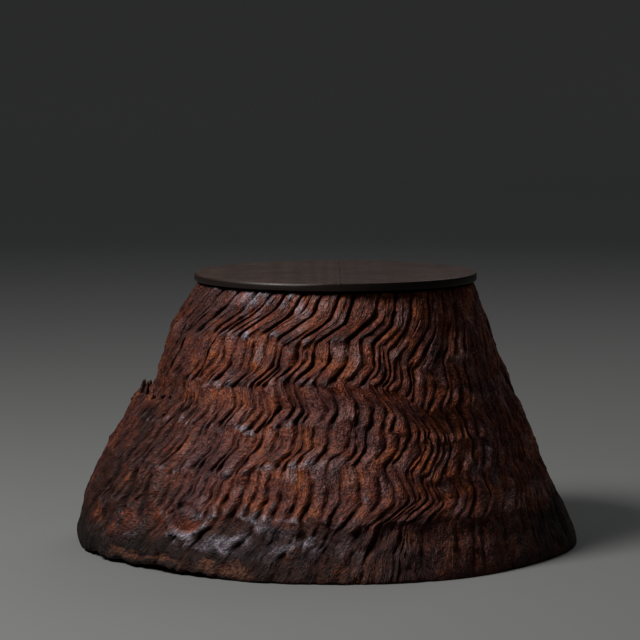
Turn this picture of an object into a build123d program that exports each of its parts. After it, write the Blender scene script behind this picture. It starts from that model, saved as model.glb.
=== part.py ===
"""Hibachi brazier table, in millimetres, +Z up.

A root stump is sawn flat on top and underneath, and hollowed for a drop-in copper liner. A
round lid of two edge-jointed boards on two dovetailed battens turns the brazier into a low
table. The origin is on the floor under the middle of the stump's outline, +X runs to the right
and -Y to the front.
"""

import os
from math import cos, exp, pi, radians, sin, sqrt

from build123d import *

# The turned axis of bore, liner and lid, measured from the middle of the stump's outline
AXIS_X = 9.5
AXIS_Y = 0.0

# Copper liner
SHEET = 1.2
LINER_INNER_RADIUS = 162.0
LINER_DEPTH = 200.0
SOLDER_GAP = 0.1
FLANGE_WIDTH = 20.0
HEM_WIDTH = 9.0
HEM_EDGE_RADIUS = 1.1
COLLAR_DEPTH = 16.0
LAP_WIDTH = 14.0
RIVETS = 6
RIVET_END_MARGIN = 26.0
RIVET_SHANK_RADIUS = 1.5
RIVET_HEAD_RADIUS = 3.4
RIVET_HEAD_HEIGHT = 1.3
RIVET_GAP = 0.05

# Bore in the stump
BORE_GAP = 2.8  # air round the liner
BORE_FLOOR_GAP = 4.0  # air under the liner
BORE_FLOOR_FILLET = 6.0
MOUTH_CHAMFER = 2.0

# Stump, as radii from the turned axis
TRUNK_HEIGHT = 373.6
RIM_WIDTH = 13.0  # wood left round the flange
BASE_RADIUS = 354.0
WAIST = 5.0  # how far the flare is hollowed at mid-height
FRONT_DRAW = 14.0  # how much shorter the base reaches at the front
BACK_DRAW = 18.0  # and at the back
HOLLOW_DEPTH = 17.0  # flattening between two roots at the front right
HOLLOW_SIDE = -33.0
HOLLOW_SPREAD = 24.0
FOOT_HEIGHT = 16.0
FOOT_TUCK = 3.0  # how far the foot rounds in under itself, all round
LIFTED_TUCK = 26.0  # more of the same at the front left, where the edge stands off the floor
LIFTED_SIDE = 215.0
LIFTED_SPREAD = 38.0
SHOULDER_REACH = 15.0  # swelling high on the left side
SHOULDER_SIDE = 180.0
SHOULDER_SPREAD = 60.0
SHOULDER_HEIGHT = 295.0
SHOULDER_RISE = 75.0
SHOULDER_CROWN = 30  # the higher, the nearer to the top it rounds over
OUTLINE_POINTS = 24
FLARE_SECTIONS = 7

# Root buttress on the left, broken off short
BUTTRESS_SIDE = 182.0  # direction of its ridge, degrees from +X
BUTTRESS_HALF_ANGLE = 44.0
BUTTRESS_TOP = 221.0
BUTTRESS_FULLEST = 92.0  # height where it stands out most
BUTTRESS_REACH = 40.5
BUTTRESS_FOOT_REACH = 15.0
BUTTRESS_LEDGE = 22.0  # how far its broken top stands out
BUTTRESS_SINK = 2.0  # its edges run into the stump by this much
BUTTRESS_ROOT = 60.0
BUTTRESS_POINTS = 10
BUTTRESS_SECTIONS = 6

# Splinters left standing on the broken top: (direction, inset from the ledge's edge, height)
SPLINTERS = [(184.5, 5.5, 12.0), (181.0, 11.0, 12.5), (176.0, 7.0, 9.0)]
SPLINTER_BASE = 3.6
SPLINTER_TIP = 0.6
SPLINTER_SINK = 3.0

# Lid
LID_OVERHANG = 5.0
LID_THICKNESS = 12.0
LEFT_EDGE_RADIUS = 4.2  # the left board's arris is worn round
RIGHT_EDGE_RADIUS = 1.8
LOWER_EDGE_RADIUS = 2.0
SEAM_X = 5.5  # the boards meet this far right of the turned axis
SEAM_GAP = 0.2
BATTEN_Y = 84.0
BATTEN_WIDTH = 30.0
BATTEN_DROP = 16.0  # what stands below the boards
BATTEN_END_GAP = 3.0  # between a batten's end and the liner
BATTEN_CHAMFER = 2.5
KEY_DEPTH = 4.5
KEY_SHOULDER = 3.5  # batten left beside the key's neck
KEY_FLARE = 1.6  # each flank spreads this much towards the groove's floor
KEY_GAP = 0.1
NAIL_END_MARGIN = 8.0
NAIL_KEY_MARGIN = 5.4  # between a nail's head and the key
NAIL_SHANK_RADIUS = 1.3
NAIL_HEAD_RADIUS = 2.6
NAIL_HEAD_HEIGHT = 1.2
NAIL_POINT = 4.0
NAIL_GAP = 0.05
NAIL_COVER = 3.0  # wood left under a nail's point

# Radii worked out from the sizes above, from the liner outwards and inwards
LINER_OUTER_RADIUS = LINER_INNER_RADIUS + SHEET
LAP_RADIUS = LINER_OUTER_RADIUS + SHEET
BORE_RADIUS = LAP_RADIUS + BORE_GAP
FLANGE_RADIUS = LINER_INNER_RADIUS + FLANGE_WIDTH
TOP_RADIUS = FLANGE_RADIUS + RIM_WIDTH
LID_RADIUS = TOP_RADIUS + LID_OVERHANG
SEAT_RADIUS = LINER_INNER_RADIUS - SOLDER_GAP  # outside of the floor and of the flange's collar
MOUTH_RADIUS = SEAT_RADIUS - SHEET
BATTEN_REACH = MOUTH_RADIUS - BATTEN_END_GAP

# Heights
LINER_FLOOR = TRUNK_HEIGHT - LINER_DEPTH
BORE_FLOOR = LINER_FLOOR - BORE_FLOOR_GAP
FLANGE_BOTTOM = TRUNK_HEIGHT + SHEET
LID_BOTTOM = FLANGE_BOTTOM + SHEET
LID_TOP = LID_BOTTOM + LID_THICKNESS
BATTEN_BOTTOM = LID_BOTTOM - BATTEN_DROP
NAIL_TIP = BATTEN_BOTTOM + NAIL_COVER

# Places along a batten
NAIL_X = sqrt((BATTEN_REACH - NAIL_END_MARGIN) ** 2 - BATTEN_Y**2)
KEY_HALF_LENGTH = NAIL_X - NAIL_HEAD_RADIUS - NAIL_KEY_MARGIN

TURNED_AXIS = Axis((AXIS_X, AXIS_Y, 0), (0, 0, 1))
TURNING_PLANE = Plane(origin=(AXIS_X, AXIS_Y, 0), x_dir=(1, 0, 0), z_dir=(0, -1, 0))

os.makedirs("parts", exist_ok=True)


def level(height):
    """Horizontal plane at a height, centred on the turned axis."""
    return Plane(origin=(AXIS_X, AXIS_Y, height))


def polar(radius, angle):
    """Point at a radius and an angle in degrees, in the plane of a sketch."""
    return (radius * cos(radians(angle)), radius * sin(radians(angle)))


def spaced(first, last, count):
    """Evenly spaced values from the first to the last."""
    return [first + (last - first) * i / (count - 1) for i in range(count)]


def swell(distance, spread):
    """Smooth bump: 1 at no distance, fading to 0 past the spread."""
    return exp(-((distance / spread) ** 2))


def turn_from(direction, angle):
    """Signed angle in degrees from a direction to an angle, the short way round."""
    return (angle - direction + 180) % 360 - 180


def stump_radius(angle, height):
    """Radius of the plain stump in one direction at one height."""
    share = height / TRUNK_HEIGHT
    flare = BASE_RADIUS + (TOP_RADIUS - BASE_RADIUS) * share - WAIST * sin(pi * share)
    depth = sin(radians(angle))
    draw = (BACK_DRAW if depth > 0 else FRONT_DRAW) * depth**2
    hollow = HOLLOW_DEPTH * swell(turn_from(HOLLOW_SIDE, angle), HOLLOW_SPREAD)
    shoulder = SHOULDER_REACH * swell(turn_from(SHOULDER_SIDE, angle), SHOULDER_SPREAD)
    shoulder *= swell(height - SHOULDER_HEIGHT, SHOULDER_RISE) * (1 - share**SHOULDER_CROWN)
    tuck = FOOT_TUCK + LIFTED_TUCK * swell(turn_from(LIFTED_SIDE, angle), LIFTED_SPREAD)
    foot = tuck * max(0, 1 - height / FOOT_HEIGHT) ** 2
    return flare - (draw + hollow) * (1 - share) + shoulder - foot


def stump_outline(height):
    """Points of the stump's outline at one height, evenly turned round the axis."""
    angles = [360 * i / OUTLINE_POINTS for i in range(OUTLINE_POINTS)]
    return [polar(stump_radius(angle, height), angle) for angle in angles]


def buttress_reach(height):
    """How far the buttress's ridge stands out of the stump at one height."""
    if height < BUTTRESS_FULLEST:
        fall = (1 - height / BUTTRESS_FULLEST) ** 2
        return BUTTRESS_REACH + (BUTTRESS_FOOT_REACH - BUTTRESS_REACH) * fall
    rise = (height - BUTTRESS_FULLEST) / (BUTTRESS_TOP - BUTTRESS_FULLEST)
    return BUTTRESS_REACH + (BUTTRESS_LEDGE - BUTTRESS_REACH) * rise**2


def buttress_outline(height):
    """Points of the buttress's outer face at one height, from one edge to the other."""
    points = []
    for share in spaced(-1, 1, BUTTRESS_POINTS + 1):
        angle = BUTTRESS_SIDE + BUTTRESS_HALF_ANGLE * share
        ridge = max(0, cos(pi / 2 * share)) ** 1.3
        proud = (buttress_reach(height) + BUTTRESS_SINK) * ridge - BUTTRESS_SINK
        points.append(polar(stump_radius(angle, height) + proud, angle))
    return points


# Stump: the plain flare, the broken buttress and its splinters, then the bore
with BuildPart() as flare:
    for height in [0] + spaced(FOOT_HEIGHT, TRUNK_HEIGHT, FLARE_SECTIONS):
        with BuildSketch(level(height)):
            with BuildLine():
                Spline(*stump_outline(height), periodic=True)
            make_face()
    loft()

with BuildPart() as buttress:
    root = polar(BUTTRESS_ROOT, BUTTRESS_SIDE)
    for height in [0] + spaced(FOOT_HEIGHT, BUTTRESS_TOP, BUTTRESS_SECTIONS):
        outer = buttress_outline(height)
        with BuildSketch(level(height)):
            with BuildLine():
                Spline(*outer)
                Polyline(outer[-1], root, outer[0])
            make_face()
    loft()

with BuildPart() as splinters:
    for angle, inset, rise in SPLINTERS:
        edge = stump_radius(angle, BUTTRESS_TOP) + BUTTRESS_LEDGE
        with BuildSketch(level(BUTTRESS_TOP - SPLINTER_SINK)):
            with Locations(polar(edge - inset, angle)):
                Circle(SPLINTER_BASE)
        with BuildSketch(level(BUTTRESS_TOP + rise)):
            with Locations(polar(edge - inset + SPLINTER_BASE / 2, angle)):
                Circle(SPLINTER_TIP)
        loft()

with BuildPart() as bore:
    with BuildSketch(TURNING_PLANE) as bore_section:
        with BuildLine():
            Polyline(
                (0, BORE_FLOOR),
                (BORE_RADIUS, BORE_FLOOR),
                (BORE_RADIUS, TRUNK_HEIGHT - MOUTH_CHAMFER),
                (BORE_RADIUS + MOUTH_CHAMFER, TRUNK_HEIGHT),
                (0, TRUNK_HEIGHT),
                close=True,
            )
        make_face()
        floor_corner = bore_section.vertices().group_by(Axis.Y)[0].sort_by(Axis.X)[-1]
        fillet(floor_corner, BORE_FLOOR_FILLET)
    revolve(axis=TURNED_AXIS)

with BuildPart() as trunk:
    add(flare.part)
    add(buttress.part)
    add(splinters.part)
    add(bore.part, mode=Mode.SUBTRACT)

# Liner: a lapped and riveted wall, a floor soldered inside its foot and a hemmed flange on top
rivet_heights = spaced(LINER_FLOOR + RIVET_END_MARGIN, TRUNK_HEIGHT - RIVET_END_MARGIN, RIVETS)
rivet_places = [(AXIS_X, AXIS_Y, height) for height in rivet_heights]

with BuildPart() as liner_wall:
    with BuildSketch(level(LINER_FLOOR)):
        Circle(LINER_OUTER_RADIUS)
        Circle(LINER_INNER_RADIUS, mode=Mode.SUBTRACT)
    extrude(amount=FLANGE_BOTTOM - LINER_FLOOR)
    with BuildSketch(level(LINER_FLOOR)):
        Circle(LAP_RADIUS)
        with Locations((0, LINER_OUTER_RADIUS)):
            Rectangle(LAP_WIDTH, 4 * SHEET, mode=Mode.INTERSECT)
        Circle(LINER_INNER_RADIUS + SHEET / 2, mode=Mode.SUBTRACT)
    extrude(amount=LINER_DEPTH)
    with Locations(*rivet_places):
        Cylinder(
            RIVET_SHANK_RADIUS + RIVET_GAP,
            LAP_RADIUS + SHEET,
            rotation=(-90, 0, 0),
            align=(Align.CENTER, Align.CENTER, Align.MIN),
            mode=Mode.SUBTRACT,
        )

with BuildPart() as liner_floor:
    with BuildSketch(level(LINER_FLOOR)):
        Circle(SEAT_RADIUS)
    extrude(amount=SHEET)

with BuildPart() as liner_flange:
    with BuildSketch(TURNING_PLANE) as flange_section:
        with BuildLine():
            Polyline(
                (MOUTH_RADIUS, LID_BOTTOM - COLLAR_DEPTH),
                (MOUTH_RADIUS, LID_BOTTOM),
                (FLANGE_RADIUS, LID_BOTTOM),
                (FLANGE_RADIUS, TRUNK_HEIGHT),
                (FLANGE_RADIUS - HEM_WIDTH, TRUNK_HEIGHT),
                (FLANGE_RADIUS - HEM_WIDTH, FLANGE_BOTTOM),
                (SEAT_RADIUS, FLANGE_BOTTOM),
                (SEAT_RADIUS, LID_BOTTOM - COLLAR_DEPTH),
                close=True,
            )
        make_face()
        fillet(flange_section.vertices().group_by(Axis.X)[-1], HEM_EDGE_RADIUS)
        fillet(flange_section.vertices().group_by(Axis.X)[0].sort_by(Axis.Y)[-1], SHEET)
    revolve(axis=TURNED_AXIS)

with BuildPart() as rivet:
    # The inner head's rim meets the round wall, the outer head's middle meets the lap
    inner_seat = sqrt(LINER_INNER_RADIUS**2 - RIVET_HEAD_RADIUS**2)
    with BuildSketch(Plane(origin=(0, 0, 0), x_dir=(0, 1, 0), z_dir=(1, 0, 0))):
        with BuildLine():
            Bezier(
                (inner_seat - RIVET_HEAD_HEIGHT, 0),
                (inner_seat - RIVET_HEAD_HEIGHT, RIVET_HEAD_RADIUS),
                (inner_seat, RIVET_HEAD_RADIUS),
            )
            Polyline(
                (inner_seat, RIVET_HEAD_RADIUS),
                (inner_seat, RIVET_SHANK_RADIUS),
                (LAP_RADIUS, RIVET_SHANK_RADIUS),
                (LAP_RADIUS, RIVET_HEAD_RADIUS),
            )
            Bezier(
                (LAP_RADIUS, RIVET_HEAD_RADIUS),
                (LAP_RADIUS + RIVET_HEAD_HEIGHT, RIVET_HEAD_RADIUS),
                (LAP_RADIUS + RIVET_HEAD_HEIGHT, 0),
            )
            Line((LAP_RADIUS + RIVET_HEAD_HEIGHT, 0), (inner_seat - RIVET_HEAD_HEIGHT, 0))
        make_face()
    revolve(axis=Axis.Y)

with BuildPart() as liner_rivets:
    with Locations(*rivet_places):
        add(rivet.part)


# Lid: the nails come first, because boards and battens are drilled to suit them
def turned_nail(gap):
    """A nail, or the hole for one, on the origin's vertical: a flush head and a long point."""
    shank = NAIL_SHANK_RADIUS + gap
    with BuildPart() as turned:
        with BuildSketch(Plane(origin=(0, 0, 0), x_dir=(1, 0, 0), z_dir=(0, -1, 0))):
            with BuildLine():
                Polyline(
                    (0, LID_TOP),
                    (NAIL_HEAD_RADIUS + gap, LID_TOP),
                    (shank, LID_TOP - NAIL_HEAD_HEIGHT - gap),
                    (shank, NAIL_TIP + NAIL_POINT),
                    (0, NAIL_TIP - gap),
                    close=True,
                )
            make_face()
        revolve(axis=Axis.Z)
    return turned.part


nail = turned_nail(0)
nail_hole = turned_nail(NAIL_GAP)
nail_places = [(AXIS_X + x, AXIS_Y + y, 0) for x in (-NAIL_X, NAIL_X) for y in (-BATTEN_Y, BATTEN_Y)]

with BuildPart() as lid_nails:
    with Locations(*nail_places):
        add(nail)


def dovetail(y, gap):
    """The dovetail key along one batten, or with a gap the groove for it."""
    half_neck = BATTEN_WIDTH / 2 - KEY_SHOULDER + gap
    depth = KEY_DEPTH + gap
    with BuildPart() as key:
        section = Plane(origin=(AXIS_X, AXIS_Y + y, LID_BOTTOM), x_dir=(0, 1, 0), z_dir=(1, 0, 0))
        with BuildSketch(section):
            with BuildLine():
                Polyline(
                    (-half_neck, 0),
                    (-half_neck - KEY_FLARE, depth),
                    (half_neck + KEY_FLARE, depth),
                    (half_neck, 0),
                    close=True,
                )
            make_face()
        extrude(amount=KEY_HALF_LENGTH + gap, both=True)
    return key.part


def lid_board(side, edge_radius):
    """Half of the round lid, left (-1) or right (+1) of the seam, grooved for both battens."""
    with BuildPart() as board:
        with BuildSketch(level(LID_BOTTOM)):
            Circle(LID_RADIUS)
            with Locations((SEAM_X + side * (SEAM_GAP / 2 + LID_RADIUS), 0)):
                Rectangle(2 * LID_RADIUS, 2 * LID_RADIUS, mode=Mode.INTERSECT)
        extrude(amount=LID_THICKNESS)
        fillet(board.edges().filter_by(GeomType.CIRCLE).sort_by(Axis.Z)[-1], edge_radius)
        fillet(board.edges().filter_by(GeomType.CIRCLE).sort_by(Axis.Z)[0], LOWER_EDGE_RADIUS)
        for y in (-BATTEN_Y, BATTEN_Y):
            add(dovetail(y, KEY_GAP), mode=Mode.SUBTRACT)
        with Locations(*nail_places):
            add(nail_hole, mode=Mode.SUBTRACT)
    return board


def lid_batten(y):
    """Batten under the boards: a bar with its ends cut to the mouth, and its dovetail key."""
    with BuildPart() as batten:
        with BuildSketch(level(BATTEN_BOTTOM)):
            Circle(BATTEN_REACH)
            with Locations((0, y)):
                Rectangle(2 * BATTEN_REACH, BATTEN_WIDTH, mode=Mode.INTERSECT)
        extrude(amount=BATTEN_DROP)
        chamfer(batten.faces().sort_by(Axis.Z)[0].edges(), BATTEN_CHAMFER)
        add(dovetail(y, 0))
        with Locations(*nail_places):
            add(nail_hole, mode=Mode.SUBTRACT)
    return batten


lid_board_left = lid_board(-1, LEFT_EDGE_RADIUS)
lid_board_right = lid_board(1, RIGHT_EDGE_RADIUS)
lid_batten_front = lid_batten(-BATTEN_Y)
lid_batten_back = lid_batten(BATTEN_Y)

pieces = {
    "trunk": trunk,
    "liner_wall": liner_wall,
    "liner_floor": liner_floor,
    "liner_flange": liner_flange,
    "liner_rivets": liner_rivets,
    "lid_board_left": lid_board_left,
    "lid_board_right": lid_board_right,
    "lid_batten_front": lid_batten_front,
    "lid_batten_back": lid_batten_back,
    "lid_nails": lid_nails,
}
for name, piece in pieces.items():
    piece.part.label = name
    export_step(piece.part, f"parts/{name}.step")
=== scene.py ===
"""Hibachi brazier table: fine shape and finish of every piece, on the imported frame.

Lengths are worked out in millimetres and written to the meshes in metres. Angles are degrees
round the bore's axis, counted from +X (right) through +Y (back), so the front is -90.
"""

import bpy
import numpy as np
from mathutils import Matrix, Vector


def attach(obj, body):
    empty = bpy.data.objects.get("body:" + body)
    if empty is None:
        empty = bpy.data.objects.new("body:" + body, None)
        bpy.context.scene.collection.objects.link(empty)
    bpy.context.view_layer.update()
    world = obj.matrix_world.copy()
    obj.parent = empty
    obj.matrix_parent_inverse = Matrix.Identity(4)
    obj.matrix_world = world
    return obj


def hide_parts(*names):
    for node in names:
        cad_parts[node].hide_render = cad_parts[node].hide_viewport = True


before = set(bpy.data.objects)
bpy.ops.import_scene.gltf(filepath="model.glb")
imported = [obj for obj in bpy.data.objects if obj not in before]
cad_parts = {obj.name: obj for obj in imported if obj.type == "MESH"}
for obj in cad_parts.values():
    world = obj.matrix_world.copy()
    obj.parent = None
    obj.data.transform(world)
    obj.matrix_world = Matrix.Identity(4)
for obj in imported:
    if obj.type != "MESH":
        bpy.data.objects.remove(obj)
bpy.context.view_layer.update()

MM = 0.001
AXIS_X, AXIS_Y = 9.5, 0.0
chance = np.random.default_rng(29)

# Heights and radii that the frame fixes
TRUNK_TOP = 373.6
BORE_RADIUS = 167.2
BORE_FLOOR = 169.6
BORE_FILLET = 6.0
MOUTH_CHAMFER = 2.0
LINER_FLOOR = 173.6
LINER_RADIUS = 162.0
SHEET = 1.2
FLANGE_RADIUS = 182.0
LID_BOTTOM, LID_TOP = 376.0, 388.0
LID_RADIUS = 200.0
SEAM_X = 5.5
BATTEN_Y = 84.0
BATTEN_BOTTOM = 360.0
BATTEN_REACH = 157.7
FRONT, BACK = -90, 90  # angles of the front's and the back's middle

# The frame's stump: its radius at the floor, its taper up to the top and its waist; how far the
# floor's outline is drawn in behind, in front and by the hollow at the front right; and how far
# its left shoulder stands out
BASE_RADIUS, TAPER, WAIST = 354, 159, 5
DRAWN_BACK, DRAWN_FRONT, HOLLOW, SHOULDER = 18, 14, 17, 15
# Its broken buttress: direction and half-width (degrees), the furthest that it stands out, at
# which height, and the height where it is broken off
BUTTRESS_ANGLE, BUTTRESS_HALF = 182, 44
BUTTRESS_REACH, BUTTRESS_BULGE, BUTTRESS_TOP = 40.5, 92, 221
SLANT = 1.09  # length of the flared skin for each mm of height


# ---------------------------------------------------------------- shapes as arrays


def swell(distance, spread):
    """Smooth bump: e to the minus square of distance over spread."""
    return np.exp(-((distance / spread) ** 2))


def turn_from(direction, angle):
    """Signed angle from a direction to an angle, the short way round."""
    return (angle - direction + 180) % 360 - 180


def step_up(value, low, high):
    """0 below low, 1 above high, and 3t^2 - 2t^3 between, t being the share of the way."""
    share = np.clip((value - low) / (high - low), 0, 1)
    return share * share * (3 - 2 * share)


def polar(radius, angle, height):
    """Points at a radius and an angle round the bore's axis, at a height."""
    turned = np.radians(angle)
    x = AXIS_X + radius * np.cos(turned)
    y = AXIS_Y + radius * np.sin(turned)
    return np.stack(np.broadcast_arrays(x, y, height), -1)


def mottle(across, along, around, sizes):
    """Noise, about -1..1: random values on the corners of a lattice that closes after a number
    of cells across, blended by 3t^2 - 2t^3 inside each cell; each further one of sizes is a
    multiple of both ways of counting cells, at 0.6 of the strength of the one before."""
    total, strength = 0, 1
    for size in sizes:
        cells = int(around * size)
        values = chance.uniform(-1, 1, (int(np.ptp(along) * size) + 3, cells))
        u, v = across * size, (along - along.min()) * size
        left, low = np.floor(u).astype(int), np.floor(v).astype(int)
        u, v = u - left, v - low
        u, v = u * u * (3 - 2 * u), v * v * (3 - 2 * v)
        left, right = left % cells, (left + 1) % cells
        upper = values[low, left] * (1 - u) + values[low, right] * u
        lower = values[low + 1, left] * (1 - u) + values[low + 1, right] * u
        total = total + strength * (upper * (1 - v) + lower * v)
        strength = strength * 0.6
    return total


def waves(count, turns, lengths, angle, height):
    """Sum of waves over the stump's skin, each a sine of m times angle plus height over a length.

    m is drawn from turns and the length from lengths; the sum is scaled to about -1..1.
    """
    total = 0
    for _ in range(count):
        m = chance.integers(*turns)
        pitch = chance.uniform(*lengths) * chance.choice((-1, 1))
        phase = chance.uniform(0, 2 * np.pi)
        total = total + np.sin(m * np.radians(angle) + 2 * np.pi * height / pitch + phase)
    return total / np.sqrt(count)


# ---------------------------------------------------------------- stump

# Kinks that run round the stump, where the grain changes direction. Each: its height in front,
# its drop towards the left and its drop towards the right.
KINKS = (
    (342, -8, 13),
    (312, -1, 32),
    (282, 10, 38),
    (259, 10, 40),
    (224, 4, 33),
    (204, 12, 30),
    (173, 4, 6),
    (156, 22, 24),
    (108, 4, 6),
    (79, 2, 2),
    (58, 2, 4),
    (43, 1, 3),
)
# Lean of the grain in each band between kinks, in degrees off the fall line; minus runs down to
# the left. Columns: left shoulder, front left, front, front right, right side, back.
LEAN_SIDES = (-160, -122, -92, -66, -30, 90)
LEANS = (
    (-26, -32, -18, -16, -8, -20),
    (-38, -52, -56, -50, -18, -46),
    (-20, -4, -2, 2, 4, 4),
    (-34, -42, -45, -44, -14, -40),
    (-16, 20, 25, 40, 16, 24),
    (-34, -32, -34, -22, -8, -38),
    (-22, -10, -3, -3, 2, 2),
    (-32, -34, -46, -46, -14, -42),
    (-24, -15, 4, 20, 10, 18),
    (-26, -14, -28, -62, -30, -44),
    (-24, -34, -24, -8, -6, -10),
    (-24, -42, -36, -24, -14, -38),
    (-14, -28, -18, -8, -6, -8),
)
# How deep the grooves are cut just above each kink and just below it, as shares, and how far
# the skin itself swells out at the kink and falls back in below it (mm)
CUT_ABOVE = (0.95, 1.25, 0.85, 1.25, 0.8, 1.25, 0.85, 1.15, 0.75, 1.1, 0.6, 0.95)
CUT_BELOW = (0.95, 0.65, 0.9, 0.6, 0.9, 0.65, 0.9, 0.65, 0.9, 0.45, 0.75, 0.5)
SWELLS = (-0.4, 2.4, -1.0, 2.8, -1.0, 2.4, -0.4, 2.2, -0.8, 3.0, -1.6, 1.4)
DROPS = (0.6, 3.2, 0.6, 3.6, 0.6, 3.2, 0.6, 3.0, 0.6, 3.6, 0.6, 1.6)

# Where the grooves meet the sawn top in front
TOP_GROOVES = (-144, -134, -124, -116.5, -110.5, -103.5, -95.5, -88.5, -82.5, -72, -64.5)
RIDGES = 138
GROOVE_DEPTH = 7.4
GROOVE_WIDTH = 2.35
CREST = 1.4  # the skin stays this far inside the frame's stump before it swells


def stump_radius(angle, height):
    """Radius of the frame's stump without its buttress: a waisted taper, drawn in front and
    back, with a hollow at the front right and a shoulder on the left."""
    share = height / TRUNK_TOP
    taper = BASE_RADIUS - TAPER * share - WAIST * np.sin(np.pi * share)
    depth = np.sin(np.radians(angle))
    draw = np.where(depth > 0, DRAWN_BACK, DRAWN_FRONT) * depth**2
    hollow = HOLLOW * swell(turn_from(-33, angle), 24)
    shoulder = SHOULDER * swell(turn_from(180, angle), 60) * swell(height - 295, 75)
    return taper - (draw + hollow) * (1 - share) + shoulder * (1 - np.clip(share, 0, 1) ** 30)


def buttress_proud(angle, height):
    """How far the broken buttress stands out: its ridge's reach times a cosine across it."""
    turned = np.radians(angle)
    across = np.clip(turn_from(BUTTRESS_ANGLE, angle) / BUTTRESS_HALF, -1, 1)
    ridge = np.cos(np.pi / 2 * across) ** 1.3
    below = BUTTRESS_REACH - 25.5 * (1 - np.clip(height / BUTTRESS_BULGE, 0, 1)) ** 2
    rise = (height - BUTTRESS_BULGE) / (BUTTRESS_TOP - BUTTRESS_BULGE)
    above = BUTTRESS_REACH - 18.5 * np.clip(rise, 0, 1) ** 2
    reach = np.where(height < BUTTRESS_BULGE, below, above)
    ledge = BUTTRESS_TOP - 1.5 + 3 * np.sin(turned * 23) + 2.2 * np.sin(turned * 61)
    broken = 1 - step_up(height, ledge - 1.5, ledge + 1.5)
    return np.maximum(0, (reach + 2) * ridge - 2) * broken


def kink_heights(angle):
    """Height of each kink line at each angle: level, dropping left and right, and ragged by two
    sines; behind, one long sine takes the place of the drops."""
    off, turned = turn_from(FRONT, angle), np.radians(angle)
    left, right = step_up(-off, 8, 34) * (off > -120), step_up(off, 11, 30)
    forward = np.cos(turned + np.pi / 2)
    before, behind = step_up(forward, -0.2, 0.4), step_up(forward, 0.3, -0.4)
    lines = []
    for index, (level, left_drop, right_drop) in enumerate(KINKS):
        ragged = 2.6 * np.sin(9 * turned + 2.1 * index) + 1.6 * np.sin(17 * turned + 5 * index)
        around = 9 * np.sin(2 * turned + 1.3 * index) * behind
        lines.append(level - (left_drop * left + right_drop * right) * before + ragged + around)
    return lines


def band_place(angle, height):
    """Place between the kinks as one number: 0 at the top, k at kink k, 13 at the floor."""
    lines = [TRUNK_TOP + 0 * angle, *kink_heights(angle), 0 * angle]
    place = 0
    for upper, lower in zip(lines, lines[1:]):
        place = place + np.clip((upper - height) / (upper - lower), 0, 1)
    return place


def between_kinks(place, above, below, values):
    """Value at a place between the kinks, along straight lines through values: the first at the
    top, two at each kink, just above and just below it, and the last at the floor."""
    kinks = np.arange(1, len(KINKS) + 1)
    turns = np.ravel(np.column_stack([kinks - above, kinks + below]))
    return np.interp(place, [0, *turns, len(KINKS) + 1], values)


def by_side(angle, rows):
    """Blends one value for each of LEAN_SIDES by angle, along straight lines between them."""
    sides = np.array(LEAN_SIDES) % 360
    order = np.argsort(sides)
    total = 0
    for row, share in zip(rows, np.eye(len(sides))):
        total = total + np.interp(angle % 360, sides[order], share[order], period=360) * row
    return total


def grain_slope(angle, height):
    """Sideways run of the grain per mm of fall: the tangent of the lean, turning at each kink."""
    place = band_place(angle, height)
    leans = np.repeat(np.tan(np.radians(np.array(LEANS))), 2, 0)
    return by_side(angle, [between_kinks(place, 0.09, 0.09, side) for side in leans.T])


def gap_to_next(lines):
    """Angle from each line to the next one round the stump."""
    return np.diff(lines, append=lines[..., :1] + 360)


def follow_grain(start, heights, stagger):
    """Angle of each groove line at each height, from the top down, as rows.

    Each line meets the kinks higher or lower by its stagger. A step runs sideways by the
    grain's slope times its length over the radius. Lines nearer than 0.62 of the mean gap then
    push apart, and lines further than 1.6 of it draw together.
    """
    mean = 360 / len(start)
    lines = [start]
    for upper, lower in zip(heights, heights[1:]):
        line = lines[-1]
        slope = grain_slope(line, upper + stagger + 0 * line)
        line = line + np.degrees(slope * (upper - lower) * SLANT / stump_radius(line, upper))
        for _ in range(16):
            gap = gap_to_next(line)
            push = np.maximum(0, 0.62 * mean - gap) - np.maximum(0, gap - 1.6 * mean)
            line = line + 0.4 * (np.roll(push, 1) - push)
        lines.append(line)
    return np.array(lines)


def slow_waves(lengths, heights):
    """For each groove line, the mean of one sine for each length along the height."""
    total = 0
    for length in lengths:
        phase = chance.uniform(0, 2 * np.pi, RIDGES)
        pitch = length * chance.uniform(0.8, 1.25, RIDGES)
        total = total + np.sin(2 * np.pi * heights / pitch + phase)
    return total / len(lengths)


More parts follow.
